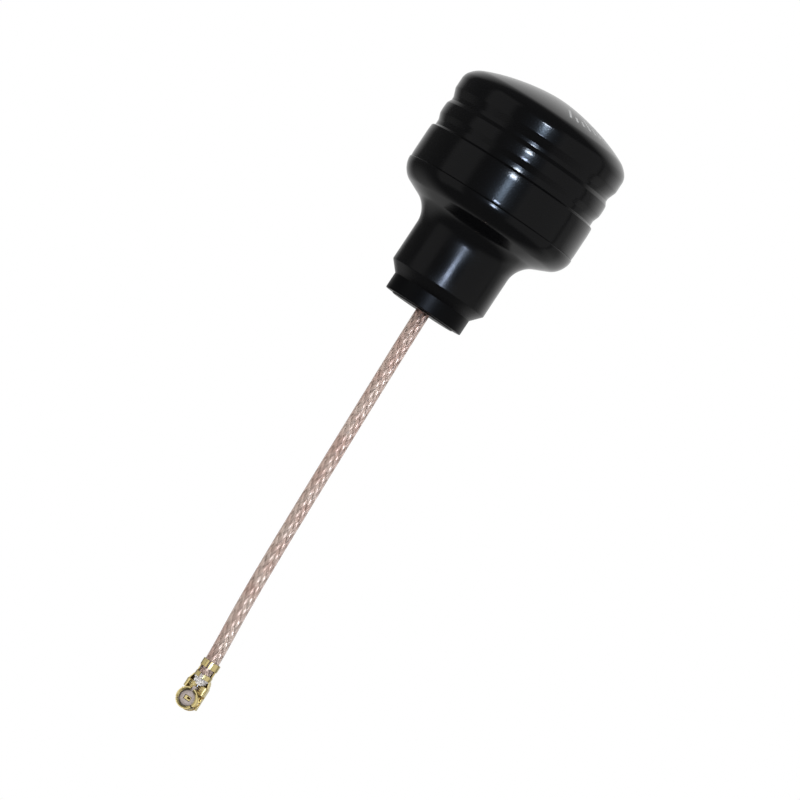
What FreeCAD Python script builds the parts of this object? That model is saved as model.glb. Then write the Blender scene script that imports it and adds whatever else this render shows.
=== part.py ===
# Circularly polarised video-link antenna: a two-piece moulded housing with a domed cap,
# a stack of three etched discs inside it, and a short coaxial pigtail that ends in a
# miniature push-on plug.
#
# Millimetres. +Z runs along the housing's axis towards the dome. The origin is the centre
# of the collar's end, where the cable leaves. The plug's mouth faces -Y.
import FreeCAD
import Part
import math
import os

Vector = FreeCAD.Vector
UP = Vector(0, 0, 1)
ORIGIN = Vector(0, 0, 0)

# How far a cut runs past the faces it opens, and how near two places count as one
overcut = 1.0
same_place = 1e-6

# Housing, outside
collar_radius = 5.2
collar_height = 2.0
collar_edge = 0.12
step_height = 1.3
neck_radius = 6.35
neck_length = 7.12
flare_rise = 2.32
flare_foot_bend = 3.0
flare_head_bend = 2.6
rim_radius = 11.35
rim_length = 1.81
seam_chamfer = 0.07
cap_step = 0.05
band_height = 4.42
groove_depth = 0.4
lower_groove_wall = 0.2
lower_groove_floor = 0.7
lower_groove_ramp = 0.78
ridge_inset = 0.1
ridge_height = 1.45
upper_groove_wall = 0.5
upper_groove_floor = 0.45
upper_groove_ramp = 1.05
shoulder_radius = 1.85
dome_radius = 21.9
dome_height = 15.15

# Housing, inside
wall = 1.1
step_wall = 0.55
collar_wall = 0.9
spigot_height = 1.5
spigot_wall = 0.65
spigot_clearance = 0.05
seat_depth = 1.65
rib_count = 3
rib_thickness = 0.9
rib_grip = 1.5
rib_clearance = 0.04

# Bush that closes the collar
bush_length = 2.2
bush_proud = 0.15
bush_clearance = 0.02
bush_edge = 0.15
bead_height = 0.1
bead_width = 0.4
bead_crest_width = 0.2
bead_place = 1.3
cable_clearance = 0.12

# Coaxial cable: centre wire, insulation, braid, jacket
core_radius = 0.15
dielectric_radius = 0.43
braid_radius = 0.67
jacket_radius = 0.9
layer_clearance = 0.01
sleeve_wall = 0.32
sleeve_length = 4.2
sleeve_setback = 0.3

# The cable's route from inside the collar to the jacket's end in the plug, chosen by eye:
# an almost straight drop that leans to one side and turns back a little at the plug
cable_route = [
    (0.0, 0.0, 2.1),
    (0.57, -0.3, -17.0),
    (1.38, -0.5, -39.0),
    (2.17, -0.5, -47.6),
    (2.21, -0.5, -50.33),
]
bend_share = 0.45

# Etched discs
disc_thickness = 0.8
disc_clearance = 0.15
lower_gap = 3.9
disc_headroom = 0.68
middle_disc_inset = 1.6
top_disc_inset = 1.7
copper_thickness = 0.07
pad_radius = 1.9
arm_width = 0.9
arm_count = 3
arc_width = 1.0
arc_angle = 96.0
copper_margin = 0.35
slot_angle = 84.0
slot_inset = 1.9
slot_width = 0.8
jacket_strip = 1.1
core_stub = 0.45
solder_radius = 1.25
solder_height = 0.75
top_solder_radius = 0.85

# The solder's hollow sides, as shares of its spread and of its height
collar_waist_spread = 0.35
collar_waist_height = 0.4
collar_crest_spread = 0.2
bead_waist_spread = 0.75
bead_waist_height = 0.7
bead_crest_spread = 0.3

# Plug, seen from its mouth: a ring, a body and two crimps, folded from one sheet
sheet = 0.12
ring_radius = 1.33
mouth_depth = 1.45
bead_bore = 1.0
bead_start = 0.12
bead_length = 0.36
bead_slope = 0.2
lid_depth = 0.5
ring_gap = 10.0
ring_opening = 20.0
ring_side_angle = 105.0
ring_slot_depth = 1.0
body_half_width = 1.42
body_start = 1.04
body_end = 2.07
body_lip = 0.37
body_front = 0.62
body_corner = 0.3
tab_half_length = 0.8
tab_front = 0.2
tab_notch = 0.22
strip_half_width = 0.6
shoulder_front = 0.35
cradle_front = -0.15
crimp_grip = 0.01
front_crimp_start = 2.82
front_crimp_length = 0.58
front_crimp_gap = 0.49
rear_crimp_start = 4.21
rear_crimp_length = 0.87
rear_crimp_gap = 0.24
rear_crimp_spread = 0.1
braid_fold = 0.05
braid_setback = 0.05
braid_turn = 0.18
braid_turn_edge = 0.09
jacket_lead = 0.045
plug_turn = -13.0
insulator_face = 0.5
insulator_radius = 0.91
insulator_clearance = 0.02
insulator_stem = 0.19
stem_recess = 0.12
stem_end = 1.6
window_width = 0.9
window_height = 0.6
contact_recess = 0.08
contact_gap = 0.07
contact_slot_width = 0.4
contact_slot_height = 0.25
contact_slot_side = 0.12
contact_slot_place = -0.08
tail_half_width = 0.12
tail_end = 1.5
dielectric_end = 1.95
core_end = 1.05

# Heights and radii that follow from the sizes above
cap_radius = rim_radius - cap_step
cap_bore = cap_radius - wall
spigot_radius = cap_bore - spigot_clearance
spigot_bore = spigot_radius - spigot_wall
collar_bore = collar_radius - collar_wall
neck_bore = neck_radius - wall
step_top = collar_height + step_height
flare_foot = step_top + neck_length
flare_head = flare_foot + flare_rise
seam_height = flare_head + rim_length
seat_height = seam_height - seat_depth
dome_top = seam_height + dome_height
sphere_height = dome_top - dome_radius
bottom_disc_radius = spigot_bore - disc_clearance
middle_disc_radius = cap_bore - middle_disc_inset
top_disc_radius = cap_bore - top_disc_inset
bottom_disc_top = seat_height + disc_thickness
middle_disc_base = bottom_disc_top + lower_gap
middle_disc_top = middle_disc_base + disc_thickness
dome_over_disc = math.sqrt((dome_radius - wall) ** 2 - top_disc_radius ** 2)
top_disc_top = sphere_height + dome_over_disc - disc_headroom
top_disc_base = top_disc_top - disc_thickness
jacket_top = seat_height - jacket_strip
bush_top = bush_length - bush_proud
cable_end = Vector(*cable_route[-1])
cable_direction = (cable_end - Vector(*cable_route[-2])).normalize()
jacket_end = front_crimp_start - jacket_lead


def edge(start, end):
    """A straight edge between two points."""
    return Part.LineSegment(start, end).toShape()


def in_section(radius, height):
    """A point of a turned part's half section."""
    return Vector(radius, 0, height)


def rounded_outline(corners, place=in_section, closed=True):
    """A wire through corners of (first, second, fillet radius), each corner rounded."""
    points = [place(a, b) for a, b, _ in corners]
    count = len(points)
    starts, ends, edges = [], [], []
    for i, (_, _, radius) in enumerate(corners):
        here = points[i]
        inner = closed or 0 < i < count - 1
        if radius <= 0 or not inner:
            starts.append(here)
            ends.append(here)
            edges.append(None)
            continue
        back = (points[i - 1] - here).normalize()
        ahead = (points[(i + 1) % count] - here).normalize()
        half = back.getAngle(ahead) / 2
        reach = radius / math.tan(half)
        middle = (back + ahead).normalize()
        deep = radius / math.sin(half) - radius
        starts.append(here + back * reach)
        ends.append(here + ahead * reach)
        edges.append(Part.Arc(starts[i], here + middle * deep, ends[i]).toShape())
    wire = []
    for i in range(count):
        if edges[i] is not None:
            wire.append(edges[i])
        follower = (i + 1) % count
        last = not closed and i == count - 1
        if not last and (starts[follower] - ends[i]).Length > same_place:
            wire.append(edge(ends[i], starts[follower]))
    return Part.Wire(Part.__sortEdges__(wire))


def turned(wire):
    """The solid that a closed half section makes round the Z axis."""
    return Part.Face(wire).revolve(ORIGIN, UP, 360)


def rod(radius, low, high):
    """A round bar on the Z axis."""
    return Part.makeCylinder(radius, high - low, Vector(0, 0, low), UP)


def pipe(outer, inner, low, high):
    """A round tube on the Z axis."""
    return rod(outer, low, high).cut(rod(inner, low - overcut, high + overcut))


def block(low_corner, high_corner):
    """A box between two corners."""
    size = high_corner - low_corner
    return Part.makeBox(size.x, size.y, size.z, low_corner)


def around(shape, count):
    """Copies of a shape, evenly spaced round the Z axis."""
    copies = []
    for i in range(count):
        copy = shape.copy()
        copy.rotate(ORIGIN, UP, 360.0 * i / count)
        copies.append(copy)
    return copies


# Domed cap: a bell-shaped moulding with two grooves, and ribs that hold the top disc

def grooved_side():
    """The cap's side from its rim up: band, groove, ridge and groove."""
    floor = cap_radius - groove_depth
    ridge = cap_radius - ridge_inset
    steps = [
        (cap_radius - seam_chamfer, 0),
        (cap_radius, seam_chamfer),
        (cap_radius, band_height - seam_chamfer),
        (floor, lower_groove_wall),
        (floor, lower_groove_floor),
        (ridge, lower_groove_ramp),
        (ridge, ridge_height),
        (floor, upper_groove_wall),
        (floor, upper_groove_floor),
        (cap_radius, upper_groove_ramp),
    ]
    points, height = [in_section(0, seam_height)], seam_height
    for radius, rise in steps:
        height += rise
        points.append(in_section(radius, height))
    return points


def domed(side, sphere_radius, corner_radius):
    """The solid below a spherical dome: a turned side, and a shoulder that may be round."""
    side_radius = side[-1].x
    offset = sphere_radius - corner_radius
    lean = math.asin((side_radius - corner_radius) / offset)
    centre = in_section(side_radius - corner_radius,
                        sphere_height + offset * math.cos(lean))

    def on_sphere(angle):
        return in_section(sphere_radius * math.sin(angle),
                          sphere_height + sphere_radius * math.cos(angle))

    side_end = in_section(side_radius, centre.z)
    edges = Part.makePolygon(side + [side_end]).Edges
    if corner_radius > 0:
        half = (math.pi / 2 + lean) / 2
        middle = centre + in_section(math.sin(half), math.cos(half)) * corner_radius
        edges.append(Part.Arc(side_end, middle, on_sphere(lean)).toShape())
    edges.append(Part.Arc(on_sphere(lean), on_sphere(lean / 2), on_sphere(0)).toShape())
    edges.append(edge(on_sphere(0), side[0]))
    return turned(Part.Wire(Part.__sortEdges__(edges)))


def make_dome_cap():
    outside = domed(grooved_side(), dome_radius, shoulder_radius)
    inside = domed([in_section(0, seam_height), in_section(cap_bore, seam_height)],
                   dome_radius - wall, 0)
    rib = block(Vector(top_disc_radius - rib_grip, -rib_thickness / 2,
                       top_disc_top + copper_thickness + rib_clearance),
                Vector(cap_radius, rib_thickness / 2, dome_top))
    ribs = [part.common(outside) for part in around(rib, rib_count)]
    return outside.cut(inside).fuse(ribs).removeSplitter()


# Neck shell: the flared lower moulding, with a spigot for the cap and a seat for the
# bottom disc

def make_neck_shell():
    slope = math.atan2(rim_radius - neck_radius, flare_head - flare_foot)
    rise = wall * math.tan(slope / 2)
    inner_foot = flare_foot + rise
    ledge_radius = neck_bore + (seat_height - inner_foot) * math.tan(slope)
    narrowing = neck_bore - collar_bore
    inner_step = step_top + step_wall
    outline = rounded_outline([
        (collar_bore, 0, 0),
        (collar_radius - collar_edge, 0, 0),
        (collar_radius, collar_edge, 0),
        (collar_radius, collar_height, 0),
        (neck_radius, step_top, 0),
        (neck_radius, flare_foot, flare_foot_bend),
        (rim_radius, flare_head, flare_head_bend),
        (rim_radius, seam_height - seam_chamfer, 0),
        (rim_radius - seam_chamfer, seam_height, 0),
        (spigot_radius, seam_height, 0),
        (spigot_radius, seam_height + spigot_height - seam_chamfer, 0),
        (spigot_radius - seam_chamfer, seam_height + spigot_height, 0),
        (spigot_bore, seam_height + spigot_height, 0),
        (spigot_bore, seat_height, 0),
        (ledge_radius, seat_height, 0),
        (neck_bore, inner_foot, 0),
        (neck_bore, inner_step, 0),
        (collar_bore, inner_step - narrowing, 0),
    ])
    bead_groove = turned(bead_outline(collar_bore - bead_height, bush_clearance))
    return turned(outline).cut(bead_groove)


# Cable bush: a round plug pressed into the collar, held by a snap bead

def bead_outline(base_radius, clearance):
    """Half section of the snap bead, or of its groove when given a clearance."""
    half = bead_width / 2 + clearance
    crest_half = bead_crest_width / 2 + clearance
    crest = collar_bore + bead_height + clearance
    return Part.makePolygon([
        in_section(base_radius, bead_place - half),
        in_section(collar_bore - bush_clearance, bead_place - half),
        in_section(crest, bead_place - crest_half),
        in_section(crest, bead_place + crest_half),
        in_section(collar_bore - bush_clearance, bead_place + half),
        in_section(base_radius, bead_place + half),
        in_section(base_radius, bead_place - half),
    ])


def make_cable_bush():
    bush_radius = collar_bore - bush_clearance
    hole = jacket_radius + cable_clearance
    body = turned(Part.makePolygon([
        in_section(hole, -bush_proud),
        in_section(bush_radius - bush_proud, -bush_proud),
        in_section(bush_radius, 0),
        in_section(bush_radius, bush_top - bush_edge),
        in_section(bush_radius - bush_edge, bush_top),
        in_section(hole, bush_top),
        in_section(hole, -bush_proud),
    ]))
    bead = turned(bead_outline(bush_radius - bead_height, 0))
    return body.fuse(bead).removeSplitter()


# Coaxial cable: four layers that follow one route of straight runs and tangent arcs

def cable_bends():
    """Centre, axis, start, end, radius and turn in degrees of each bend of the route."""
    points = [Vector(0, 0, jacket_top)] + [Vector(*point) for point in cable_route]
    bends = []
    for before, here, after in zip(points, points[1:], points[2:]):
        back, ahead = before - here, after - here
        reach = bend_share * min(back.Length, ahead.Length)
        back.normalize()
        ahead.normalize()
        half_turn = (math.pi - back.getAngle(ahead)) / 2
        radius = reach / math.tan(half_turn)
        centre = here + (back + ahead).normalize() * (radius / math.cos(half_turn))
        bends.append((centre, ahead.cross(back), here + back * reach, here + ahead * reach,
                      radius, math.degrees(2 * half_turn)))
    return bends


def across(place, direction, outer, inner):
    """A round or ring-shaped face across the cable."""
    rims = [Part.Wire(Part.makeCircle(outer, place, direction))]
    if inner > 0:
        rims.append(Part.Wire(Part.makeCircle(inner, place, direction)))
    return Part.makeFace(rims, "Part::FaceMakerBullseye")


def cable_layer(outer, inner, top, overrun):
    """One layer, from a height inside the housing to an overrun past the jacket's end."""
    start = Vector(0, 0, top)
    length = 0.0
    pieces = []
    for centre, axis, bend_start, bend_end, radius, turn in cable_bends():
        run = bend_start - start
        pieces.append(across(start, run, outer, inner).extrude(run))
        face = across(bend_start, run, outer, inner)
        pieces.append(face.revolve(centre, axis, turn))
        length += run.Length + radius * math.radians(turn)
        start = bend_end
    run = cable_end + cable_direction * overrun - start
    pieces.append(across(start, run, outer, inner).extrude(run))
    length += run.Length
    solid = pieces[0].fuse(pieces[1:]).removeSplitter()
    share = solid.Volume / (math.pi * (outer ** 2 - inner ** 2) * length)
    print("cable layer of radius %.2f: length %.2f, volume share %.5f"
          % (outer, length, share))
    return solid


# Etched discs: laminate, copper and solder

def make_disc(radius, base, hole):
    return pipe(radius, hole, base, base + disc_thickness)


def copper_arms(radius, base, sense, hole):
    """A centre pad with arms that turn along the rim, all one way."""
    outer = radius - copper_margin
    arm = block(Vector(0, -arm_width / 2, base),
                Vector(outer - arc_width / 2, arm_width / 2, base + copper_thickness))
    arc = Part.makeCylinder(outer, copper_thickness, Vector(0, 0, base), UP, arc_angle)
    arc = arc.cut(rod(outer - arc_width, base - overcut, base + overcut))
    half_arm = math.degrees(math.asin(arm_width / 2 / outer))
    arc.rotate(ORIGIN, UP, -half_arm)
    if sense < 0:
        arc = arc.mirror(ORIGIN, Vector(0, 1, 0))
    pad = rod(pad_radius, base, base + copper_thickness)
    pattern = pad.fuse(around(arm.fuse(arc), arm_count))
    return pattern.cut(rod(hole, base - overcut, base + overcut)).removeSplitter()


def copper_ground(radius, base, hole):
    """A round sheet with curved slots near its rim."""
    outer = radius - copper_margin
    ground = pipe(outer, hole, base, base + copper_thickness)
    slot = Part.makeCylinder(outer - slot_inset, copper_thickness, Vector(0, 0, base), UP,
                             slot_angle)
    slot = slot.cut(rod(outer - slot_inset - slot_width, base - overcut, base + overcut))
    return ground.cut(around(slot, arm_count))


def solder_collar(base, sense):
    """A hollow-sided collar of solder round the braid, on a disc's copper."""
    bore = braid_radius + layer_clearance
    spread = solder_radius - bore
    crest = base + sense * solder_height
    return turned(Part.makePolygon([
        in_section(bore, base),
        in_section(solder_radius, base),
        in_section(bore + spread * collar_waist_spread,
                   base + sense * solder_height * collar_waist_height),
        in_section(bore + spread * collar_crest_spread, crest),
        in_section(bore, crest),
        in_section(bore, base),
    ]))


def solder_bead(base, wire_top):
    """A rounded bead of solder over the end of the centre wire."""
    height = wire_top - base + core_radius
    bead = turned(Part.makePolygon([
        in_section(0, base),
        in_section(top_solder_radius, base),
        in_section(top_solder_radius * bead_waist_spread,
                   base + height * bead_waist_height),
        in_section(top_solder_radius * bead_crest_spread, base + height),
        in_section(0, base + height),
        in_section(0, base),
    ]))
    return bead.cut(rod(core_radius + layer_clearance, base - overcut,
                        wire_top + layer_clearance))


# Push-on plug. Its own frame has the ring's centre at the origin, the mouth towards -Y
# and the cable coming down from +Z.

def in_front(x, z):
    """A point of the plug seen from its mouth."""
    return Vector(x, 0, z)


def slab(corners, front, back):
    """A flat sheet cut to an outline in X and Z, from one depth in Y to another."""
    wire = rounded_outline(corners, in_front)
    face = Part.Face(wire)
    face.translate(Vector(0, front, 0))
    return face.extrude(Vector(0, back - front, 0))


def turned_about_mouth(corners):
    """A solid turned round the mouth's axis, from corners of (radius, depth)."""
    points = [Vector(radius, depth, 0) for radius, depth in corners]
    face = Part.Face(Part.makePolygon(points + points[:1]))
    return face.revolve(ORIGIN, Vector(0, 1, 0), 360)


def ring_wedge(start, sweep, front, back):
    """A wedge of the ring, for cutting it; angles run from +X towards the cable."""
    reach = ring_radius * 2
    corners = [(0, 0, 0)]
    for angle in (start, start + sweep):
        corners.append((reach * math.cos(math.radians(angle)),
                        reach * math.sin(math.radians(angle)), 0))
    return slab(corners, front, back)


def make_ring():
    """The ring, waisted where it grips, and cut into three springs."""
    outer, inner = ring_radius, ring_radius - sheet
    mouth = -mouth_depth
    bead_low = mouth + bead_start
    bead_high = bead_low + bead_length
    bead_outer = bead_bore + sheet
    ring = turned_about_mouth([
        (inner, mouth), (outer, mouth),
        (bead_outer, bead_low), (bead_outer, bead_high),
        (outer, bead_high + bead_slope), (outer, lid_depth),
        (inner, lid_depth), (inner, bead_high + bead_slope),
        (bead_bore, bead_high), (bead_bore, bead_low),
    ])
    half_opening = ring_opening / 2
    slot_back = mouth + ring_slot_depth
    cuts = [ring_wedge(90 - half_opening, ring_opening, mouth - overcut, lid_depth)]
    for side_start in (90 + half_opening + ring_side_angle,
                       90 - half_opening - ring_side_angle - ring_gap):
        cuts.append(ring_wedge(side_start, ring_gap, mouth - overcut, slot_back))
    return ring.cut(cuts)


def barrel(inner_radius, spread, start, length, gap):
    """A crimp: a sheet wrapped round the cable, open towards the mouth."""
    high = start + length
    outer = stadium(inner_radius + sheet, spread, start, high)
    inner = stadium(inner_radius, spread, start - overcut, high + overcut)
    slit = block(Vector(-gap / 2, -inner_radius - overcut, start - overcut),
                 Vector(gap / 2, 0, high + overcut))
    return outer.cut(inner).cut(slit)


def stadium(radius, spread, low, high):
    """An oval bar: a round one drawn apart sideways."""
    if spread <= 0:
        return rod(radius, low, high)
    ends = []
    for x in (-spread, spread):
        ends.append(Part.makeCylinder(radius, high - low, Vector(x, 0, low), UP))
    middle = block(Vector(-spread, -radius, low), Vector(spread, radius, high))
    return middle.fuse(ends).removeSplitter()


def make_plug_shell():
    lid_back = lid_depth + sheet
    jacket_grip = jacket_radius + crimp_grip
    fold_radius = jacket_radius + layer_clearance + braid_fold
    front_radius = fold_radius + crimp_grip
    rear_end = rear_crimp_start + rear_crimp_length
    half = body_half_width

    # Lid: a round end behind the ring, straight sides behind the body
    lid = Part.makeCylinder(half, sheet, Vector(0, lid_depth, 0), Vector(0, 1, 0))
    lid = lid.fuse(slab([(-half, 0, 0), (half, 0, 0), (half, body_end, 0),
                         (-half, body_end, 0)], lid_depth, lid_back))

    # Strip: steps back from the lid, clears the folded braid and runs behind both crimps
    jog_end = jacket_end - braid_turn
    front_end = front_crimp_start + front_crimp_length
    bends = [(lid_depth, body_end), (front_radius, jog_end), (front_radius, front_end),
             (jacket_grip, rear_crimp_start), (jacket_grip, rear_end)]
    outline = [Vector(0, lid_depth, body_end - sheet)]
    outline += [Vector(0, depth, height) for depth, height in bends]
    outline += [Vector(0, depth + sheet, height) for depth, height in reversed(bends)]
    outline += [Vector(0, lid_back, body_end - sheet), outline[0]]
    strip = Part.Face(Part.makePolygon(outline)).extrude(Vector(half * 2, 0, 0))
    strip.translate(Vector(-half, 0, 0))
    narrow, wide = strip_half_width, front_radius + sheet / 2
    strip = strip.common(slab([
        (half, body_end - sheet, 0), (wide, front_crimp_start, 0),
        (narrow, front_crimp_start, 0), (narrow, rear_end, 0),
        (-narrow, rear_end, 0), (-narrow, front_crimp_start, 0),
        (-wide, front_crimp_start, 0), (-half, body_end - sheet, 0),
    ], 0, half))

    # Body: a trough with its edges folded in over the cable's end
    body = slab([(-half, body_start, 0), (half, body_start, 0), (half, body_end, 0),
                 (-half, body_end, 0)], -body_front, lid_back)
    body = rounded_edges_along_z(body, -body_front)
    inner = half - sheet
    hollow = block(Vector(-inner, -body_front + sheet, body_start - overcut),
                   Vector(inner, lid_depth, body_end + overcut))
    opening = half - body_lip
    window = block(Vector(-opening, -body_front - overcut, body_start - overcut),
                   Vector(opening, 0, body_end + overcut))
    body = body.cut(hollow).cut(window)

    # Shoulders: the sides draw in from the body to the front crimp
    shoulders = []
    for side in (-1, 1):
        shoulders.append(slab([
            (side * half, body_end - sheet, 0),
            (side * (front_radius + sheet), front_crimp_start + sheet, 0),
            (side * front_radius, front_crimp_start + sheet, 0),
            (side * (half - sheet), body_end - sheet, 0),
        ], -shoulder_front, lid_back))

    # Cradle: the trough behind the jacket between the crimps
    cradle = pipe(jacket_grip + sheet, jacket_grip,
                  front_end - braid_setback + layer_clearance, rear_crimp_start + sheet)
    cradle = cradle.common(block(Vector(-half, cradle_front, front_crimp_start),
                                 Vector(half, half, rear_end)))

    # Tabs: the lid's edges, folded up beside the ring, each notched in the middle
    tabs = []
    for side in (-1, 1):
        low_x, high_x = sorted((side * (half - sheet), side * half))
        tab = block(Vector(low_x, -tab_front, -tab_half_length),
                    Vector(high_x, lid_back, tab_half_length))
        notch = block(Vector(low_x - overcut, -tab_front - overcut, -tab_notch),
                      Vector(high_x + overcut, tab_front, tab_notch))
        tabs.append(tab.cut(notch))

    crimps = [
        barrel(front_radius, 0, front_crimp_start, front_crimp_length, front_crimp_gap),
        barrel(jacket_grip, rear_crimp_spread, rear_crimp_start, rear_crimp_length,
               rear_crimp_gap),
    ]
    pieces = [strip, body, cradle, make_ring()] + shoulders + tabs + crimps
    return lid.fuse(pieces).removeSplitter()


def rounded_edges_along_z(shape, front):
    """Rounds the two long edges that face the mouth."""
    found = []
    for one in shape.Edges:
        height = one.BoundBox.ZMax - one.BoundBox.ZMin
        upright = height > body_end - body_start - sheet
        if upright and abs(one.BoundBox.YMin - front) < same_place:
            found.append(one)
    return shape.makeFillet(body_corner, found)


def make_plug_insulator():
    """A keyhole-shaped body: a disc in the ring, and a stem that runs out to the cable."""
    face = -mouth_depth + insulator_face
    step = -mouth_depth + bead_start + bead_length + bead_slope
    foot = ring_radius - sheet - insulator_clearance
    back = lid_depth - insulator_clearance
    solid = turned_about_mouth([
        (0, face), (insulator_radius, face), (insulator_radius, step), (foot, step),
        (foot, back), (0, back)])
    stem = block(Vector(-insulator_stem, face + stem_recess, 0),
                 Vector(insulator_stem, back, stem_end))
    window = block(Vector(-window_width / 2, face - overcut, -window_height / 2),
                   Vector(window_width / 2, core_radius + sheet, window_height / 2))
    channel = block(Vector(-insulator_stem, -core_radius - insulator_clearance, 0),
                    Vector(insulator_stem, core_radius + sheet, stem_end + overcut))
    return solid.fuse(stem).cut(window).cut(channel).removeSplitter()


def make_plug_contact():
    """A socket with a slot for the centre pin, and a tail that the centre wire lies on."""
    floor = core_radius + layer_clearance
    back = core_radius + sheet
    front = -mouth_depth + insulator_face + contact_recess
    wide = window_width / 2 - contact_gap
    tall = window_height / 2 - contact_gap
    socket = block(Vector(-wide, front, -tall), Vector(wide, back, tall))
    slot_half = contact_slot_width / 2
    slot = block(Vector(contact_slot_side - slot_half, front - overcut, contact_slot_place),
                 Vector(contact_slot_side + slot_half, floor,
                        contact_slot_place + contact_slot_height))
    tail = block(Vector(-tail_half_width, floor, 0), Vector(tail_half_width, back, tail_end))
    return socket.cut(slot).fuse(tail).removeSplitter()


def on_cable(shape):
    """Moves a piece from the plug's own frame to the cable's end."""
    lean = math.atan2(-cable_direction.x, -cable_direction.z)
    placed = shape.copy()
    placed.rotate(ORIGIN, UP, plug_turn)
    placed.rotate(ORIGIN, Vector(0, 1, 0), math.degrees(lean))
    placed.translate(cable_end + cable_direction * jacket_end)
    return placed


# The braid is turned back over the jacket's end, under the front crimp

def make_cable_braid():
    inner_radius = dielectric_radius + layer_clearance
    tube = cable_layer(braid_radius, inner_radius, middle_disc_top + copper_thickness, 0)
    fold_inner = jacket_radius + layer_clearance
    tip = jacket_end - braid_turn
    fold_end = front_crimp_start + front_crimp_length - braid_setback
    fold = turned(Part.makePolygon([
        in_section(inner_radius, jacket_end),
        in_section(inner_radius, tip),
        in_section(fold_inner + braid_fold - braid_turn_edge, tip),
        in_section(fold_inner + braid_fold, tip + braid_turn_edge),
        in_section(fold_inner + braid_fold, fold_end),
        in_section(fold_inner, fold_end),
        in_section(fold_inner, jacket_end - layer_clearance),
        in_section(braid_radius, jacket_end - layer_clearance),
        in_section(braid_radius, jacket_end),
        in_section(inner_radius, jacket_end),
    ]))
    return tube.fuse(on_cable(fold)).removeSplitter()


def build():
    top_disc_hole = core_radius + layer_clearance
    braid_hole = braid_radius + layer_clearance
    sleeve_radius = jacket_radius + layer_clearance
    sleeve_top = jacket_top - sleeve_setback
    wire_top = top_disc_top + copper_thickness + core_stub
    return {
        "dome_cap": make_dome_cap(),
        "neck_shell": make_neck_shell(),
        "cable_bush": make_cable_bush(),
        "strain_sleeve": pipe(sleeve_radius + sleeve_wall, sleeve_radius,
                              sleeve_top - sleeve_length, sleeve_top),
        "cable_jacket": cable_layer(jacket_radius, braid_radius + layer_clearance,
                                    jacket_top, 0),
        "cable_braid": make_cable_braid(),
        "cable_dielectric": cable_layer(dielectric_radius, core_radius + layer_clearance,
                                        top_disc_base,
                                        jacket_end - dielectric_end),
        "cable_core": cable_layer(core_radius, 0, wire_top,
                                  jacket_end - core_end),
        "bottom_disc": make_disc(bottom_disc_radius, seat_height, braid_hole),
        "middle_disc": make_disc(middle_disc_radius, middle_disc_base, braid_hole),
        "top_disc": make_disc(top_disc_radius, top_disc_base, top_disc_hole),
        "bottom_disc_copper": copper_ground(bottom_disc_radius, bottom_disc_top,
                                            braid_hole),
        "middle_disc_copper": copper_arms(middle_disc_radius, middle_disc_top, 1,
                                          braid_hole),
        "top_disc_copper": copper_arms(top_disc_radius, top_disc_top, -1, top_disc_hole),
        "bottom_solder": solder_collar(bottom_disc_top + copper_thickness, 1),
        "middle_solder": solder_collar(middle_disc_base, -1),
        "top_solder": solder_bead(top_disc_top + copper_thickness, wire_top),
        "plug_shell": on_cable(make_plug_shell()),
        "plug_insulator": on_cable(make_plug_insulator()),
        "plug_contact": on_cable(make_plug_contact()),
    }


os.makedirs("parts", exist_ok=True)
print("bend radii: " + ", ".join("%.0f" % bend[4] for bend in cable_bends()))
for name, solid in build().items():
    if not solid.isValid() or len(solid.Solids) != 1:
        print("check %s: valid %s, solids %d" % (name, solid.isValid(), len(solid.Solids)))
    solid.exportStep("parts/%s.step" % name)
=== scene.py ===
import math
import random

import bmesh
import bpy
from mathutils import Matrix, Vector
from mathutils.bvhtree import BVHTree


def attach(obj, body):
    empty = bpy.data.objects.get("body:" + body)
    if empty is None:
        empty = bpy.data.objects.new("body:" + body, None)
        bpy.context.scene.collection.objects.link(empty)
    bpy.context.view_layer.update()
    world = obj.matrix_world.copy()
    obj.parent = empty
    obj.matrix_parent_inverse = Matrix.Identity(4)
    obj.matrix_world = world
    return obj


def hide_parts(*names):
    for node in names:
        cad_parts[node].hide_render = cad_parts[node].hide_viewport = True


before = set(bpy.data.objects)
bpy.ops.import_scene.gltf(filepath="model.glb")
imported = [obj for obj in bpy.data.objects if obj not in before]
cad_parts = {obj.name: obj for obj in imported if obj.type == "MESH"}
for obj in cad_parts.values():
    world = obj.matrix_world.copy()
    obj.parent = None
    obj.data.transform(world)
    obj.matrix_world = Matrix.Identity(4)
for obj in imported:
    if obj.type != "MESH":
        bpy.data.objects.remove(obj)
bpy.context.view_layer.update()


# Camera: a long lens, level with the middle of the cable and looking a little up, so that
# the collar's end face just shows. It is rolled until the antenna leans to the right.

camera_eye = Vector((0.00355, -0.62, -0.019))
camera_aim = Vector((0.00355, 0.0, -0.0102))
camera_roll = math.radians(33.5)
view_width = 0.0941
sensor_width = 36.0

ahead = (camera_aim - camera_eye).normalized()
across = Vector((math.cos(camera_roll), 0, math.sin(camera_roll)))
across = (across - ahead * across.dot(ahead)).normalized()
upward = across.cross(ahead)
camera_data = bpy.data.cameras.new("camera")
camera_data.sensor_width = sensor_width
camera_data.lens = sensor_width * (camera_aim - camera_eye).length / view_width
camera = bpy.data.objects.new("camera", camera_data)
camera.matrix_world = (Matrix.Translation(camera_eye)
                       @ Matrix((across, upward, -ahead)).transposed().to_4x4())
bpy.context.collection.objects.link(camera)
bpy.context.scene.camera = camera
bpy.context.scene.view_settings.view_transform = "Standard"


# Studio: a white cove behind and under the antenna, and a dark room in front of it with a
# few panels of light. Black gloss shows the panels as bands and the cove as pale edges.

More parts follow.
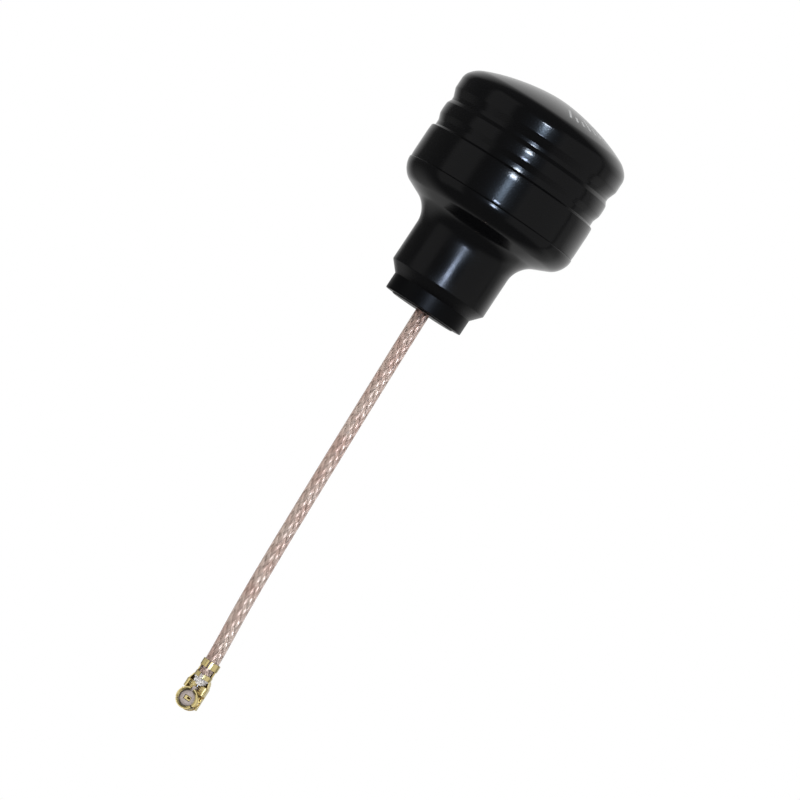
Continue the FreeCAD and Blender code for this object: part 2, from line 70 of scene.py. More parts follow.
def node(tree, kind, inputs=(), **settings):
    """Adds a shader node; inputs maps its sockets to values or to other nodes' sockets."""
    new = tree.nodes.new("ShaderNode" + kind)
    for name, value in settings.items():
        setattr(new, name, value)
    for name, value in dict(inputs).items():
        if isinstance(value, bpy.types.NodeSocket):
            tree.links.new(value, new.inputs[name])
        else:
            new.inputs[name].default_value = value
    return new


def maths(tree, operation, *values, **settings):
    """The result of one operation on values or on other nodes' outputs."""
    return node(tree, "Math", enumerate(values), operation=operation, **settings).outputs[0]


def mapped(tree, value, low, high, first=0.0, second=1.0, **settings):
    """A value output stretched from one range to another."""
    return node(tree, "MapRange", {"Value": value, "From Min": low, "From Max": high,
                                   "To Min": first, "To Max": second},
                **settings).outputs["Result"]


def linear(hex_code):
    """An sRGB colour, written in hexadecimal, as linear red, green, blue and alpha."""
    channels = [int(hex_code[i:i + 2], 16) / 255 for i in (1, 3, 5)]
    return [c / 12.92 if c < 0.04045 else ((c + 0.055) / 1.055) ** 2.4
            for c in channels] + [1.0]


room_level = 0.5
cove_turn, cove_tilt = math.radians(12), math.radians(18)
cove_dark, cove_white = 0.07, 0.8
cove_start, cove_full = 0.52, 0.98
panel_level = 0.14
edge_level = 0.16
under_level = 0.24

world = bpy.data.worlds.new("studio")
bpy.context.scene.world = world
world.use_nodes = True
tree = world.node_tree
tree.nodes.clear()
towards = node(tree, "TexCoord").outputs["Generated"]
rear = (math.sin(cove_turn) * math.cos(cove_tilt),
        math.cos(cove_turn) * math.cos(cove_tilt), math.sin(cove_tilt))
rearness = node(tree, "VectorMath", {0: towards, 1: rear}, operation="DOT_PRODUCT")
cove = mapped(tree, rearness.outputs["Value"], cove_start, cove_full, cove_dark, cove_white)
parts = node(tree, "SeparateXYZ", {"Vector": towards}).outputs
frontwards = maths(tree, "MULTIPLY", parts["Y"], -1.0)
bearing = maths(tree, "DEGREES", maths(tree, "ARCTAN2", parts["X"], frontwards))
altitude = maths(tree, "DEGREES", maths(tree, "ARCSINE", parts["Z"]))


def soft_window(tree, value, low, high, low_blur, high_blur, full=1.0):
    """A node output that is full between two limits, and fades out past them."""
    rise = mapped(tree, value, low - low_blur, low + low_blur, 0.0, full,
                  interpolation_type="SMOOTHSTEP")
    return mapped(tree, value, high - high_blur, high + high_blur, rise, 0.0,
                  interpolation_type="SMOOTHSTEP")


# Bearings in degrees: 0 is the camera's side and 90 is +X. The windows that shape the
# panels' height and the light from below are in parts of the unit sphere.
panels = [soft_window(tree, bearing, -82, -42, 5, 5, panel_level),
          soft_window(tree, bearing, 25, 93, 6, 1.5, panel_level),
          soft_window(tree, bearing, 97, 150, 2, 20, edge_level)]
panel_height = soft_window(tree, parts["Z"], -0.55, 0.6, 0.12, 0.12)
below = soft_window(tree, parts["Z"], -2.0, -0.42, 0.1, 0.32, under_level)
rearward = soft_window(tree, parts["Y"], 0.28, 2.0, 0.3, 0.1)
total = panels[0]
for panel in panels[1:]:
    total = maths(tree, "ADD", total, panel)
total = maths(tree, "MULTIPLY", total, panel_height)
for light in (maths(tree, "MULTIPLY", below, rearward), cove):
    total = maths(tree, "ADD", total, light)
# Matt surfaces get an even room, and only gloss mirrors the panels and the cove
rays = node(tree, "LightPath").outputs
mirrored = node(tree, "Mix", {"Factor": rays["Is Glossy Ray"], "A": room_level, "B": total})

# A bluish haze round the key light, seen by gloss alone: each layer has an altitude, a
# half width and a half height in degrees, and the radiance at its middle
key_bearing = 2
haze_layers = [(10, 8, 9, 11.0), (3, 8, 13, 2.8), (4, 20, 26, 0.4), (4, 36, 44, 0.12)]


def haze_round_key(middle, half_width, half_height, full):
    """A glow that fades smoothly outwards from an altitude at the key light's bearing."""
    sideways = mapped(tree, bearing, key_bearing, key_bearing + half_width, clamp=False)
    up = mapped(tree, altitude, middle, middle + half_height, clamp=False)
    offset = node(tree, "CombineXYZ", {"X": sideways, "Y": up})
    away = node(tree, "VectorMath", {0: offset.outputs[0]}, operation="LENGTH")
    return mapped(tree, away.outputs["Value"], 0.0, 1.0, full, 0.0,
                  interpolation_type="SMOOTHSTEP")


in_gloss = maths(tree, "SUBTRACT", rays["Is Glossy Ray"], rays["Is Transmission Ray"],
                 use_clamp=True)
haze = 0
for layer in haze_layers:
    haze = maths(tree, "ADD", haze, haze_round_key(*layer))
haze_light = node(tree, "Background", {"Color": linear("#bcd6f4"),
                                       "Strength": maths(tree, "MULTIPLY", in_gloss, haze)})
seen = maths(tree, "MAXIMUM", rays["Is Camera Ray"], rays["Is Transmission Ray"])
level = node(tree, "Mix", {"Factor": seen, "A": mirrored.outputs[0], "B": 1.0})
background = node(tree, "Background", {"Color": (1, 1, 1, 1), "Strength": level.outputs[0]})
both = node(tree, "AddShader", {0: background.outputs[0], 1: haze_light.outputs[0]})
node(tree, "OutputWorld", {"Surface": both.outputs[0]})

studio_centre = Vector((0, 0, 0.005))
plug_middle = Vector((0.002, -0.001, -0.053))
near_distance = 0.09


def softbox(name, azimuth, elevation, width, height, radiance, hex_code, distance=1.0,
            centre=studio_centre):
    """A rectangular lamp. Angles in degrees: azimuth 0 is the camera's side, 90 is +X."""
    turn, rise = math.radians(azimuth), math.radians(elevation)
    arm = Vector((math.sin(turn) * math.cos(rise), -math.cos(turn) * math.cos(rise),
                  math.sin(rise)))
    lamp = bpy.data.lights.new(name, "AREA")
    lamp.shape = "RECTANGLE"
    lamp.size = 2 * distance * math.tan(math.radians(width / 2))
    lamp.size_y = 2 * distance * math.tan(math.radians(height / 2))
    lamp.energy = 4 * radiance * lamp.size * lamp.size_y
    lamp.color = linear(hex_code)[:3]
    holder = bpy.data.objects.new(name, lamp)
    holder.location = centre + arm * distance
    holder.rotation_euler = (-arm).to_track_quat("-Z", "Y").to_euler()
    holder.visible_camera = False
    bpy.context.collection.objects.link(holder)
    return holder


# The key light is kept off the cable, which has two broader lamps of its own for the two
# rows of glints on its braid
not_in_key = bpy.data.collections.new("not_in_key")
near_cable = bpy.data.collections.new("near_cable")
for key in (softbox("key_upper", key_bearing, elevation=12, width=7, height=5,
                    radiance=36.0, hex_code="#eaf2ff"),
            softbox("key_lower", key_bearing, elevation=-5.5, width=6, height=4,
                    radiance=40.0, hex_code="#d0e0ff")):
    key.light_linking.receiver_collection = not_in_key
for azimuth, radiance in ((80, 11.5), (0, 6.0)):
    glint = softbox("cable_glint", azimuth, elevation=7, width=14, height=14,
                    radiance=radiance, hex_code="#e2efff")
    glint.light_linking.receiver_collection = near_cable

# Three white cards close to the plug light only the plug and the wires at it, and one more
# lamp lights only those wires
near_plug = bpy.data.collections.new("near_plug")
for azimuth, radiance in ((-20, 0.75), (-95, 0.42), (62, 0.5)):
    card = softbox("plug_card", azimuth, elevation=0, width=64, height=76,
                   radiance=radiance, hex_code="#fffaf2", distance=near_distance,
                   centre=plug_middle)
    card.light_linking.receiver_collection = near_plug
loose_strands = bpy.data.collections.new("loose_strands")
strand_glint = softbox("strand_glint", azimuth=-12, elevation=10, width=26, height=26,
                       radiance=5.5, hex_code="#ffffff", distance=near_distance,
                       centre=plug_middle)
strand_glint.light_linking.receiver_collection = loose_strands

# The floor is white paper, with a glow that only the camera sees, and clear from below
floor_height = -0.25
floor_size = 2.4
floor_glow = 0.96
floor_mesh = bpy.data.meshes.new("floor")
builder = bmesh.new()
bmesh.ops.create_grid(builder, x_segments=1, y_segments=1, size=floor_size / 2,
                      matrix=Matrix.Translation((0, 0, floor_height)))
builder.to_mesh(floor_mesh)
builder.free()
floor = bpy.data.objects.new("floor", floor_mesh)
bpy.context.collection.objects.link(floor)
floor.visible_glossy = False

floor_paper = bpy.data.materials.new("white_paper_sweep")
floor_paper.use_nodes = True
tree = floor_paper.node_tree
tree.nodes.clear()
paper = node(tree, "BsdfDiffuse", {"Color": linear("#ececea")})
glow = node(tree, "Emission", {"Color": (1, 1, 1, 1), "Strength": 1.0})
rays = node(tree, "LightPath").outputs
share = maths(tree, "MULTIPLY", rays["Is Camera Ray"], floor_glow)
blend = node(tree, "MixShader", {0: share, 1: paper.outputs[0], 2: glow.outputs[0]})
underside = node(tree, "NewGeometry").outputs["Backfacing"]
open_below = node(tree, "MixShader", {0: underside, 1: blend.outputs[0],
                                      2: node(tree, "BsdfTransparent").outputs[0]})
node(tree, "OutputMaterial", {"Surface": open_below.outputs[0]})
floor_mesh.materials.append(floor_paper)


# Cable jacket: clear fluoropolymer with a brown tint, extruded over the braid, 1.8 mm
# across. It leaves the collar straight down and drifts a little to one side.

jacket_diameter = 0.0018
cable_route = [(0, 0, 0.0118), (0, 0, 0.0021), (0.00057, -0.0003, -0.017),
               (0.00138, -0.0005, -0.039), (0.00217, -0.0005, -0.0476),
               (0.00221, -0.0005, -0.05033)]


def route_curve(name, bevel):
    """A curve object on the cable's route, with a round section of a given radius."""
    data = bpy.data.curves.new(name, "CURVE")
    data.dimensions = "3D"
    data.resolution_u = 24
    spline = data.splines.new("NURBS")
    spline.points.add(len(cable_route) - 1)
    for point, place in zip(spline.points, cable_route):
        point.co = (*place, 1)
    spline.order_u = 3
    spline.use_endpoint_u = True
    data.bevel_depth = bevel
    data.bevel_resolution = 14
    data.use_fill_caps = bevel > 0
    return bpy.data.objects.new(name, data)


def principled(name, **sockets):
    """A new material with one Principled shader; sockets are named with underscores."""
    material = bpy.data.materials.new(name)
    material.use_nodes = True
    tree = material.node_tree
    tree.nodes.clear()
    shader = node(tree, "BsdfPrincipled",
                  {key.replace("_", " "): value for key, value in sockets.items()})
    node(tree, "OutputMaterial", {"Surface": shader.outputs[0]})
    return material, tree, shader


def noise(tree, scale, detail=2.0, stretch=(1, 1, 1)):
    """A noise value in Object coordinates; scale is in patches per metre."""
    place = node(tree, "TexCoord").outputs["Object"]
    place = node(tree, "Mapping", {"Vector": place, "Scale": stretch}).outputs[0]
    return node(tree, "TexNoise", {"Vector": place, "Scale": scale,
                                   "Detail": detail}).outputs[0]


def own_height(tree):
    """The Object coordinate along Z, in metres above the collar's end."""
    place = node(tree, "TexCoord").outputs["Object"]
    return node(tree, "SeparateXYZ", {"Vector": place}).outputs["Z"]


def mixed(tree, factor, first, second):
    """A colour between two hex codes or colour outputs, by a factor output."""
    ends = {6: first, 7: second}
    for socket, colour in ends.items():
        if isinstance(colour, str):
            ends[socket] = linear(colour)
    return node(tree, "Mix", {"Factor": factor, **ends}, data_type="RGBA").outputs[2]


def finish(tree, shader, colour=None, roughness=None, bumps=None, relief=0.00001,
           strength=1.0):
    """Links a colour, a roughness and bumps with a relief in metres to a shader."""
    if colour is not None:
        tree.links.new(colour, shader.inputs["Base Color"])
    if roughness is not None:
        tree.links.new(roughness, shader.inputs["Roughness"])
    if bumps is not None:
        bump = node(tree, "Bump", {"Height": bumps, "Strength": strength,
                                   "Distance": relief})
        tree.links.new(bump.outputs[0], shader.inputs["Normal"])


jacket = route_curve("cable_jacket_tube", jacket_diameter / 2)
bpy.context.collection.objects.link(jacket)
# Clear brown-tinted plastic, a little rippled and blotched, with shade painted darker just
# under the collar
shade_low, shade_high = -0.0016, -0.0002
clear_tint, tree, shader = principled("tinted_clear_fluoropolymer", Roughness=0.2,
                                      IOR=1.34, Transmission_Weight=1.0,
                                      Specular_Tint=linear("#a8a8a8"))
painted_collar_shade = mapped(tree, own_height(tree), shade_low, shade_high,
                  interpolation_type="SMOOTHSTEP")
blotches = mapped(tree, noise(tree, 520.0), 0.35, 0.65)
tint = mixed(tree, blotches, "#dcc0b7", "#eadad2")
# The colour darkens to #a88c84 towards the collar's end: painted shade, not a tint of the
# plastic
finish(tree, shader, mixed(tree, painted_collar_shade, tint, "#a88c84"), bumps=noise(tree, 1400.0),
       relief=0.00003, strength=0.3)
jacket.data.materials.append(clear_tint)
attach(jacket, "root")
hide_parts("cable_jacket")


# Braid: silver-plated copper wires in sixteen bands of three, woven two over and two
# under round the white insulation. At the plug its ends are turned back over the jacket.

braid_lay = 0.012
bands_each_way = 8
bands_in_repeat = 4
wires_in_band = 3
band_width = 0.00041
band_thickness = 0.00006
wire_ridge = 0.000012
weave_radius = 0.00058
weave_swing = 0.00007
weave_sharpness = 0.5
braid_top = 0.0185
weave_step = 0.00025


def route_points():
    """Points along the cable's own NURBS line, from the jacket's top to its end."""
    bare = route_curve("route_line", 0)
    mesh = bpy.data.meshes.new_from_object(bare)
    points = [v.co.copy() for v in mesh.vertices]
    bpy.data.meshes.remove(mesh)
    bpy.data.objects.remove(bare)
    return points


def even_points(points, step):
    """The same line with points a step apart, and the distance at each."""
    lengths = [0.0]
    for a, b in zip(points, points[1:]):
        lengths.append(lengths[-1] + (b - a).length)
    count = int(lengths[-1] / step)
    line, i = [], 0
    for n in range(count + 1):
        at = lengths[-1] * n / count
        while i < len(lengths) - 2 and lengths[i + 1] < at:
            i += 1
        share = (at - lengths[i]) / (lengths[i + 1] - lengths[i])
        line.append((points[i].lerp(points[i + 1], share), at))
    return line


braid_line = even_points([Vector((0, 0, braid_top))] + route_points(), weave_step)
braid_places = []
for i, (place, at) in enumerate(braid_line):
    after = braid_line[min(i + 1, len(braid_line) - 1)][0]
    before = braid_line[max(i - 1, 0)][0]
    along = (after - before).normalized()
    side = (Vector((1, 0, 0)) - along * along.x).normalized()
    braid_places.append((place, side, along.cross(side), at))


def wound_bands(name, sense):
    """The bands that turn one way round the cable, each a strip with a ridge per wire."""
    shape = bmesh.new()
    rows = len(braid_places) - 1
    for band in range(bands_each_way):
        strip = bmesh.ops.create_grid(shape, x_segments=2 * wires_in_band, y_segments=rows,
                                      size=0.5)
        for vert in strip["verts"]:
            over = vert.co.x + 0.5
            place, side, front, at = braid_places[round((vert.co.y + 0.5) * rows)]
            angle = (sense * math.tau * at / braid_lay + math.tau * band / bands_each_way
                     + (over - 0.5) * band_width / weave_radius)
            crossing = 2 * band + sense * 2 * bands_each_way * at / braid_lay - 0.5
            wave = math.tanh(weave_sharpness
                             * math.cos(math.tau * crossing / bands_in_repeat))
            out = (weave_radius + sense * weave_swing * wave / math.tanh(weave_sharpness)
                   + wire_ridge * abs(math.sin(math.pi * wires_in_band * over)))
            vert.co = place + (side * math.cos(angle) + front * math.sin(angle)) * out
    bmesh.ops.solidify(shape, geom=shape.faces, thickness=band_thickness)
    bmesh.ops.recalc_face_normals(shape, faces=shape.faces)
    mesh = bpy.data.meshes.new(name)
    shape.to_mesh(mesh)
    shape.free()
    mesh.shade_smooth()
    piece = bpy.data.objects.new(name, mesh)
    bpy.context.collection.objects.link(piece)
    return piece


# Warm silver, bright enough to glint through the jacket and half dulled under it
silver = principled("silver_plated_copper", Base_Color=linear("#f2ece6"), Metallic=0.4,
                    Roughness=0.22)[0]
braid_pieces = [wound_bands("braid_bands_left", -1), wound_bands("braid_bands_right", 1)]
for piece in braid_pieces:
    piece.data.materials.append(silver)
    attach(piece, "root")
    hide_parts("cable_braid")


# Dome cap: a bell in glossy black ABS, injection moulded, with two grooves round its side
# and softly rounded lips. It is glued over the spigot of the lower shell.

MM = 0.001
turn_steps = 256
same_point = 1e-7
same_corner = 2e-6
merge_distance = 5e-6


def turned_piece(name, corners, steps=turn_steps):
    """Spins an outline of (radius, height, rounding, segments) corners round Z, in mm."""
    shape = bmesh.new()
    ring = [shape.verts.new((r * MM, 0, z * MM)) for r, z, _, _ in corners]
    outline = [shape.edges.new((a, b)) for a, b in zip(ring, ring[1:] + ring[:1])]
    bmesh.ops.spin(shape, geom=ring + outline, axis=(0, 0, 1), cent=(0, 0, 0),
                   angle=math.tau, steps=steps, use_merge=True, use_duplicate=False)
    bmesh.ops.remove_doubles(shape, verts=shape.verts, dist=same_point)
    bmesh.ops.recalc_face_normals(shape, faces=shape.faces)
    for i, (r, z, rounding, segments) in enumerate(corners):
        if rounding <= 0:
            continue
        here = Vector((r, z))
        before = Vector(corners[i - 1][:2]) - here
        after = Vector(corners[(i + 1) % len(corners)][:2]) - here
        offset = rounding / math.tan(before.angle(after) / 2)
        edges = [e for e in shape.edges
                 if all(abs(math.hypot(v.co.x, v.co.y) - r * MM) < same_corner
                        and abs(v.co.z - z * MM) < same_corner for v in e.verts)]
        bmesh.ops.bevel(shape, geom=edges, offset=offset * MM, offset_type="OFFSET",
                        segments=segments, profile=0.5, affect="EDGES", material=-1,
                        clamp_overlap=False)
    bmesh.ops.remove_doubles(shape, verts=shape.verts, dist=merge_distance)
    mesh = bpy.data.meshes.new(name)
    shape.to_mesh(mesh)
    shape.free()
    mesh.shade_smooth()
    piece = bpy.data.objects.new(name, mesh)
    bpy.context.collection.objects.link(piece)
    return piece


cap_outline = [
    (10.2, 14.55, 0, 0),
    (11.26, 14.55, 0.1, 4),
    (11.3, 15.1, 5.0, 4),
    (11.3, 18.15, 5.0, 4),
    (11.25, 18.97, 0.14, 5),
    (10.9, 19.17, 0.15, 4),
    (10.9, 19.87, 0.35, 5),
    (11.19, 20.65, 0.35, 5),
    (11.22, 21.05, 2.5, 4),
    (11.22, 21.6, 2.5, 4),
    (11.18, 22.10, 0.2, 5),
    (10.9, 22.60, 0.2, 4),
    (10.9, 23.05, 0.4, 5),
    (11.3, 24.10, 0.5, 6),
    (11.3, 25.87, 1.5, 10),
    (10.684, 26.936, 2.8, 10),
    (5.26, 29.7, 21.9, 30),
    (0, 29.7, 0, 0),
    (0, 28.5, 0, 0),
    (9.6, 25.6, 0, 0),
    (10.2, 24.0, 0, 0),
]
cap = turned_piece("moulded_dome_cap", cap_outline)

# Deep black gloss with a faint orange peel. The neck is a shade softer, most at its ends,
# and the collar is dulled by handling. Heights are in metres above the collar's end.
dome_roughness = 0.09, 0.15
neck_roughness, neck_end_roughness = 0.17, 0.25
collar_roughness = 0.36
specular, collar_specular = 0.5, 0.17
collar_end, collar_blend = 0.0019, 0.0026
neck_end, neck_blend = 0.0092, 0.0108
gloss_black, tree, shader = principled("glossy_black_abs", Base_Color=linear("#0a0a0b"),
                                       IOR=1.53)
up = own_height(tree)
collar_dull = mapped(tree, up, collar_end, collar_blend, collar_roughness, 0.0)
neck_middle = soft_window(tree, up, 0.0044, 0.0074, 0.0012, 0.0014)
neck_rough = mapped(tree, neck_middle, 0.0, 1.0, neck_end_roughness, neck_roughness)
neck_dull = mapped(tree, up, neck_end, neck_blend, neck_rough, 0.0)
rough = mapped(tree, noise(tree, 420.0, detail=3.0), 0.0, 1.0, *dome_roughness)
for dulled in (collar_dull, neck_dull):
    rough = maths(tree, "MAXIMUM", rough, dulled)
finish(tree, shader, roughness=rough, bumps=noise(tree, 6500.0, detail=1.0), strength=0.5)
tree.links.new(mapped(tree, collar_dull, 0.0, collar_roughness, specular, collar_specular),
               shader.inputs["Specular IOR Level"])
cap.data.materials.append(gloss_black)
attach(cap, "root")
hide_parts("dome_cap")


# Tick marks: a short arc of pale grey dashes, pad printed near the dome's edge. Each is a
# film of ink too thin to feel, which follows the dome under it.

tick_radius = 8.3
tick_length, tick_width = 2.6, 0.34
short_share = 0.45
tick_film = 0.006
tick_bearings = range(-76, -26, 7)
above_dome = 0.04

ticks = bmesh.new()
for i, degrees in enumerate(tick_bearings):
    length = tick_length * (short_share if i % 3 else 1.0)
    dash = bmesh.ops.create_grid(ticks, x_segments=8, y_segments=1, size=0.5)["verts"]
    bmesh.ops.scale(ticks, verts=dash, vec=(length, tick_width, 1))
    bmesh.ops.translate(ticks, verts=dash, vec=(tick_radius - length / 2, 0, 0))
    bmesh.ops.rotate(ticks, verts=dash, cent=(0, 0, 0),
                     matrix=Matrix.Rotation(math.radians(degrees), 3, "Z"))
bmesh.ops.scale(ticks, verts=ticks.verts, vec=(MM, MM, MM))
dome_skin = BVHTree.FromPolygons([vert.co for vert in cap.data.vertices],
                                 [face.vertices for face in cap.data.polygons])
for vert in ticks.verts:
    above = Vector((vert.co.x, vert.co.y, above_dome))
    vert.co.z = dome_skin.ray_cast(above, Vector((0, 0, -1)))[0].z + tick_film * MM
bmesh.ops.solidify(ticks, geom=ticks.faces, thickness=tick_film * MM)
bmesh.ops.recalc_face_normals(ticks, faces=ticks.faces)
tick_mesh = bpy.data.meshes.new("dome_tick_marks")
ticks.to_mesh(tick_mesh)
ticks.free()
tick_marks = bpy.data.objects.new("dome_tick_marks", tick_mesh)
bpy.context.collection.objects.link(tick_marks)
# Matt pale grey ink, thinner and greyer in specks
ink, tree, shader = principled("pad_printing_ink_pale_grey", Roughness=0.55)
finish(tree, shader, mixed(tree, mapped(tree, noise(tree, 5000.0), 0.3, 0.6, 0.3, 0.62),
                           "#d2d2d0", "#fbfbf9"))
tick_mesh.materials.append(ink)
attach(tick_marks, "root")


# Neck shell: the lower half in the same black ABS, a collar, a neck and a flared bowl in
# one moulding. The cap sits on its rim, and the seam between them stays visible.

shell_outline = [
    (4.3, 0, 0, 0),
    (5.2, 0, 0.12, 4),
    (5.2, 2.0, 0.1, 3),
    (6.35, 3.3, 0.25, 4),
    (6.35, 10.42, 3.0, 14),
    (11.35, 12.74, 2.6, 14),
    (11.35, 14.55, 0.1, 4),
    (10.15, 14.55, 0, 0),
    (10.15, 16.05, 0, 0),
    (9.5, 16.05, 0, 0),
    (9.5, 12.9, 0, 0),
    (5.25, 10.95, 0, 0),
    (5.25, 3.85, 0, 0),
    (4.3, 2.9, 0, 0),
]
shell = turned_piece("moulded_neck_shell", shell_outline)
shell.data.materials.append(gloss_black)
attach(shell, "root")
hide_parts("neck_shell")


# Cable bush: a black round plug pressed into the collar, with a hole for the cable and a
# rim that stands just proud of the collar's end.

bush_outline = [
    (1.02, -0.15, 0.05, 2),
    (4.13, -0.15, 0.08, 3),
    (4.28, 0.0, 0, 0),
    (4.28, 2.05, 0, 0),
    (1.02, 2.05, 0, 0),
]
bush = turned_piece("pressed_cable_bush", bush_outline, steps=128)
bush.data.materials.append(gloss_black)
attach(bush, "root")
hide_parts("cable_bush")


# Turned-back wires: at the plug the braid is combed out and folded back over the jacket
# under the front crimp, and a few frayed ends stand round the white insulation.

plug_turn = math.radians(-13)
jacket_end = 2.775
last_run = (Vector(cable_route[-1]) - Vector(cable_route[-2])).normalized()
plug_lean = math.atan2(-last_run.x, -last_run.z)
ring_centre = Vector(cable_route[-1]) + last_run * jacket_end * MM
plug_frame = (Matrix.Translation(ring_centre) @ Matrix.Rotation(plug_lean, 4, "Y")
              @ Matrix.Rotation(plug_turn, 4, "Z") @ Matrix.Scale(MM, 4))
folded_wires, frayed_wires = 64, 46
strand_radius = 0.026
strand_sides = 6
on_jacket = 0.937
fold_height, fold_scatter = 2.66, 0.07
cut_height, cut_scatter = 3.28, 0.1
fray_start, fray_middle = 2.74, 2.6
tip_height, tip_scatter = 2.3, 0.25


def strand(shape, points):
    """A thin round wire through points, with closed ends."""
    rings = []
    for i, point in enumerate(points):
        along = (points[min(i + 1, len(points) - 1)] - points[max(i - 1, 0)]).normalized()
        side = along.orthogonal().normalized()
        front = along.cross(side)
        rings.append([shape.verts.new(
            point + (side * math.cos(turn) + front * math.sin(turn)) * strand_radius)
            for turn in (math.tau * k / strand_sides for k in range(strand_sides))])
    for low, high in zip(rings, rings[1:]):
        offset = min(range(strand_sides), key=lambda k: (high[k].co - low[0].co).length)
        for k in range(strand_sides):
            a, b = (k + offset) % strand_sides, (k + 1 + offset) % strand_sides
            shape.faces.new((low[k], low[(k + 1) % strand_sides], high[b], high[a]))
    shape.faces.new(rings[0])
    shape.faces.new(reversed(rings[-1]))


def on_round(angle, radius, height):
    """A point of the plug's own frame, in mm; an angle of 270 degrees faces the mouth."""
    return Vector((radius * math.cos(angle), radius * math.sin(angle), height))


draw = random.Random(5)
loose = bmesh.new()
for i in range(folded_wires):
    angle = math.tau * i / folded_wires
    end = cut_height + cut_scatter * draw.random()
    low = fold_height - fold_scatter * draw.random()
    strand(loose, [on_round(angle, 0.6, 2.82), on_round(angle, 0.68, low + 0.04),
                   on_round(angle, 0.82, low), on_round(angle, 0.92, low + 0.07),
                   on_round(angle + 0.05, on_jacket, 2.84),
                   on_round(angle + 0.12, on_jacket, end)])
for i in range(frayed_wires):
    angle = math.radians(180 + 180 * i / frayed_wires) + 0.1 * draw.random()
    reach = 0.5 + 0.5 * draw.random()
    sway = 0.5 * (draw.random() - 0.5)
    tip = tip_height - tip_scatter * draw.random()
    strand(loose, [on_round(angle, 0.66, fray_start),
                   on_round(angle + 0.3 * sway, 0.5 + 0.25 * reach, fray_middle),
                   on_round(angle + 0.7 * sway, 0.35 + 0.45 * reach,
                            0.5 * (fray_middle + tip)),
                   on_round(angle + sway, 0.5 + 0.35 * reach * draw.random(), tip)])
bmesh.ops.transform(loose, matrix=plug_frame, verts=loose.verts)
bmesh.ops.recalc_face_normals(loose, faces=loose.faces)
loose_mesh = bpy.data.meshes.new("braid_turned_back")
loose.to_mesh(loose_mesh)
loose.free()
loose_mesh.shade_smooth()
turned_back = bpy.data.objects.new("braid_turned_back", loose_mesh)
bpy.context.collection.objects.link(turned_back)
# Nearly white bare wire, with a little grime
strand_silver, tree, shader = principled("silver_plated_strands", Metallic=0.3,
                                         Roughness=0.3)
finish(tree, shader, mixed(tree, noise(tree, 2600.0), "#cfc6bd", "#ffffff"))
turned_back.data.materials.append(strand_silver)
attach(turned_back, "root")
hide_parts("cable_braid")


# Finishes of the pieces that keep their CAD shape. Each function makes one real material,
# and two of them also paint shade into hollows.

def painted_hollow_shade(tree, distance):
    """1 in the open, and towards 0 in corners and slots, for painting shade there."""
    return node(tree, "AmbientOcclusion", {"Distance": distance}, samples=6).outputs["AO"]


def uneven(tree, scale, first, second):
    """A value that drifts between two ends in patches; scale is in patches per metre."""
    return mapped(tree, noise(tree, scale), 0.3, 0.7, first, second)


def gold_plated_bronze():
    """Thin pale gold, green cast, satin from stamping; brown shade painted in folds and
    slots.
    """
    material, tree, shader = principled("gold_plated_bronze", Metallic=1.0)
    clear_of_painted_shade = mapped(tree, painted_hollow_shade(tree, 0.0007), 0.3, 0.85)
    plating = mixed(tree, noise(tree, 1300.0), "#cab87c", "#e4d6a0")
    # 6e4a1c is painted shade, laid in where ambient occlusion finds folds and slots
    finish(tree, shader, mixed(tree, clear_of_painted_shade, "#6e4a1c", plating),
           uneven(tree, 2600.0, 0.2, 0.36), noise(tree, 3800.0), 0.00003)
    return material


def grey_liquid_crystal_polymer():
    """Pinkish grey moulding, matt, with a fine speckle and shade painted dark into its
    hollows.
    """
    material, tree, shader = principled("grey_liquid_crystal_polymer")
    speckle = mixed(tree, noise(tree, 9000.0), "#a2958f", "#bcb0aa")
    # 5c4c44 is painted shade, laid in where ambient occlusion finds hollows
    finish(tree, shader, mixed(tree, painted_hollow_shade(tree, 0.0006), "#5c4c44", speckle),
           uneven(tree, 5000.0, 0.4, 0.55), noise(tree, 12000.0), 0.000006)
    return material


def white_ptfe():
    """Milky white insulation, waxy, with faint knife marks."""
    material, tree, shader = principled("white_ptfe", IOR=1.35)
    finish(tree, shader, mixed(tree, noise(tree, 2500.0), "#e2ded8", "#f6f4f0"),
           uneven(tree, 4000.0, 0.35, 0.55),
           noise(tree, 5000.0, stretch=(1, 1, 0.2)), 0.000008)
    return material


def black_heat_shrink():
    """Black polyolefin sleeve, satin, with a fine orange-peel skin."""
    material, tree, shader = principled("black_heat_shrink")
    finish(tree, shader, mixed(tree, noise(tree, 1500.0), "#101011", "#1c1c1d"),
           uneven(tree, 1800.0, 0.42, 0.58), noise(tree, 7000.0))
    return material


def glass_epoxy_laminate():
    """Green-brown laminate, satin, with its glass cloth showing as a fine square weave."""
    material, tree, shader = principled("glass_epoxy_laminate")
    place = node(tree, "TexCoord").outputs["Object"]
    threads = [node(tree, "TexWave", {"Vector": place, "Scale": 380.0, "Distortion": 0.4},
                    bands_direction=axis).outputs["Fac"] for axis in "XY"]
    cloth = maths(tree, "MULTIPLY", *threads)
    finish(tree, shader, mixed(tree, cloth, "#39502a", "#56703c"),
           mapped(tree, cloth, 0.0, 1.0, 0.5, 0.36), cloth, 0.000008)
    return material


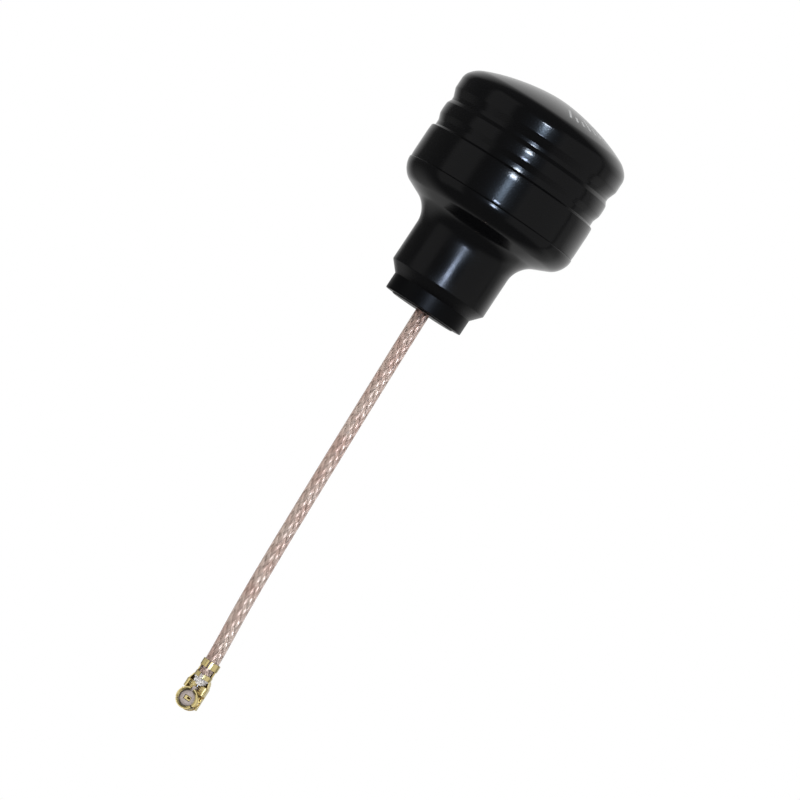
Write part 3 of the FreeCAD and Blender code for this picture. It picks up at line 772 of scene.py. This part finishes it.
def etched_copper():
    """Bare copper foil, satin and lightly brushed, browner where it was handled."""
    material, tree, shader = principled("etched_copper", Metallic=1.0)
    finish(tree, shader, mixed(tree, noise(tree, 420.0, detail=3.0), "#b8714a", "#e0a27c"),
           uneven(tree, 700.0, 0.26, 0.42),
           noise(tree, 2500.0, stretch=(1, 14, 1)), 0.000006)
    return material


def soft_solder():
    """Tin-silver solder, bright, with a frosty grain and slight dimples."""
    material, tree, shader = principled("soft_solder", Metallic=1.0)
    finish(tree, shader, mixed(tree, noise(tree, 2600.0), "#aeb0b2", "#d6d7d8"),
           uneven(tree, 6000.0, 0.2, 0.38), noise(tree, 2400.0), 0.00004)
    return material


def silver_plated_wire():
    """Bright drawn wire with faint die lines along it."""
    material, tree, shader = principled("silver_plated_wire", Metallic=1.0)
    finish(tree, shader, mixed(tree, noise(tree, 1800.0), "#d8d6d2", "#f2f0ec"),
           uneven(tree, 3000.0, 0.18, 0.3),
           noise(tree, 24000.0, stretch=(1, 1, 0.04)), 0.000003)
    return material


finishes = [
    (gold_plated_bronze(), ("plug_shell", "plug_contact")),
    (grey_liquid_crystal_polymer(), ("plug_insulator",)),
    (silver_plated_wire(), ("cable_core",)),
    (white_ptfe(), ("cable_dielectric",)),
    (black_heat_shrink(), ("strain_sleeve",)),
    (glass_epoxy_laminate(), ("bottom_disc", "middle_disc", "top_disc")),
    (etched_copper(), ("bottom_disc_copper", "middle_disc_copper", "top_disc_copper")),
    (soft_solder(), ("bottom_solder", "middle_solder", "top_solder")),
]
for material, names in finishes:
    for name in names:
        for slot in bpy.data.objects[name].material_slots:
            slot.material = material


# What the linked lamps light.

for name in ("plug_shell", "plug_contact", "plug_insulator", "cable_dielectric",
             "braid_turned_back"):
    near_plug.objects.link(bpy.data.objects[name])
loose_strands.objects.link(turned_back)
for piece in [jacket] + braid_pieces:
    near_cable.objects.link(piece)
    not_in_key.objects.link(piece)
for member in not_in_key.collection_objects:
    member.light_linking.link_state = "EXCLUDE"
